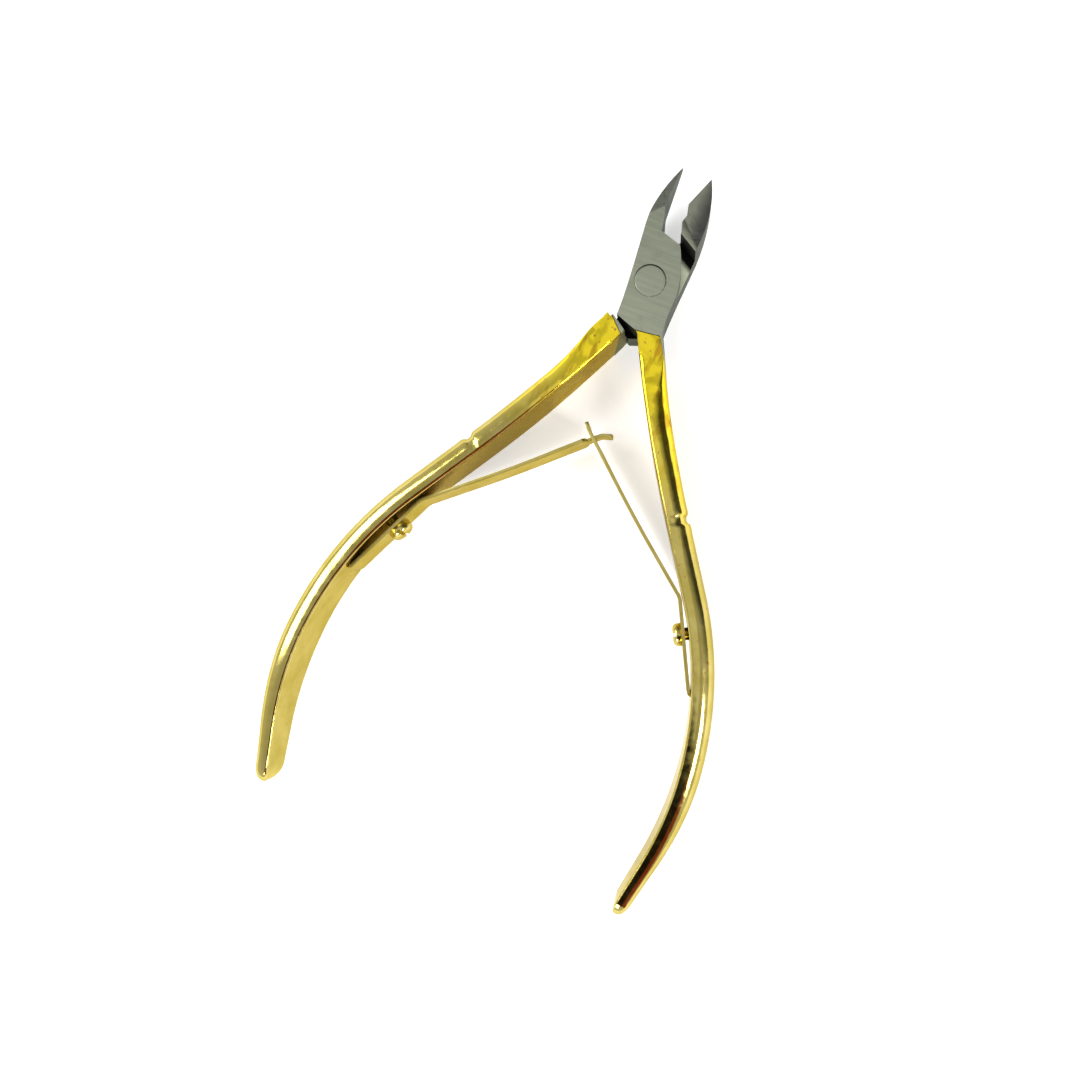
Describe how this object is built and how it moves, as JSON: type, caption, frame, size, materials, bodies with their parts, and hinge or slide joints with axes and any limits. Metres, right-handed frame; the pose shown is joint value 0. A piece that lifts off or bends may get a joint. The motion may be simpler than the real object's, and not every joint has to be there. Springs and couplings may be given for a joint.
{
  "type": "cuticle nipper",
  "caption": "Hand-held cuticle nipper: half-lapped jaws on a flush rivet, long bowed handles and crossing leaf springs that reopen it.",
  "frame": {"origin": "on the pivot rivet's axis, at the head's flat back face, with the nipper open at rest", "axes": "+Z out of the front of the head along the rivet, +Y to the jaw tips, +X to the right-hand handle seen from the front"},
  "size_m": [0.0646, 0.1058, 0.0076],
  "materials": {
    "plated_half": "polished",
    "rivet_steel": "satin",
    "spring_steel": "polished",
    "screw_steel": "polished"
  },
  "bodies": {
    "front": {"front_half": "plated_half", "right_spring_tail": "spring_steel", "right_spring_screw": "screw_steel"},
    "rear": {"rear_half": "plated_half", "pivot_rivet": "rivet_steel", "left_spring_tail": "spring_steel", "left_spring_screw": "screw_steel"},
    "right_leaf": {"right_spring_leaf": "spring_steel"},
    "left_leaf": {"left_spring_leaf": "spring_steel"}
  },
  "joints": [
    {"name": "nipper_hinge", "type": "hinge", "parent": "front", "child": "rear", "pos_m": [0, 0, 0.0032], "axis": [0, 0, 1], "range_deg": [0, 14], "stiffness_Nm_per_rad": 1},
    {"name": "right_leaf_flex", "type": "hinge", "parent": "front", "child": "right_leaf", "pos_m": [0.01952, -0.04012, 0.0032], "axis": [0, 0, 1], "range_deg": [-8.4, 0]},
    {"name": "left_leaf_flex", "type": "hinge", "parent": "rear", "child": "left_leaf", "pos_m": [-0.01952, -0.04012, 0.0032], "axis": [0, 0, 1], "range_deg": [0, 8.4]}
  ],
  "couplings": [
    {"joint": "right_leaf_flex", "follows": "nipper_hinge", "ratio": -0.58962},
    {"joint": "left_leaf_flex", "follows": "nipper_hinge", "ratio": 0.58962}
  ]
}
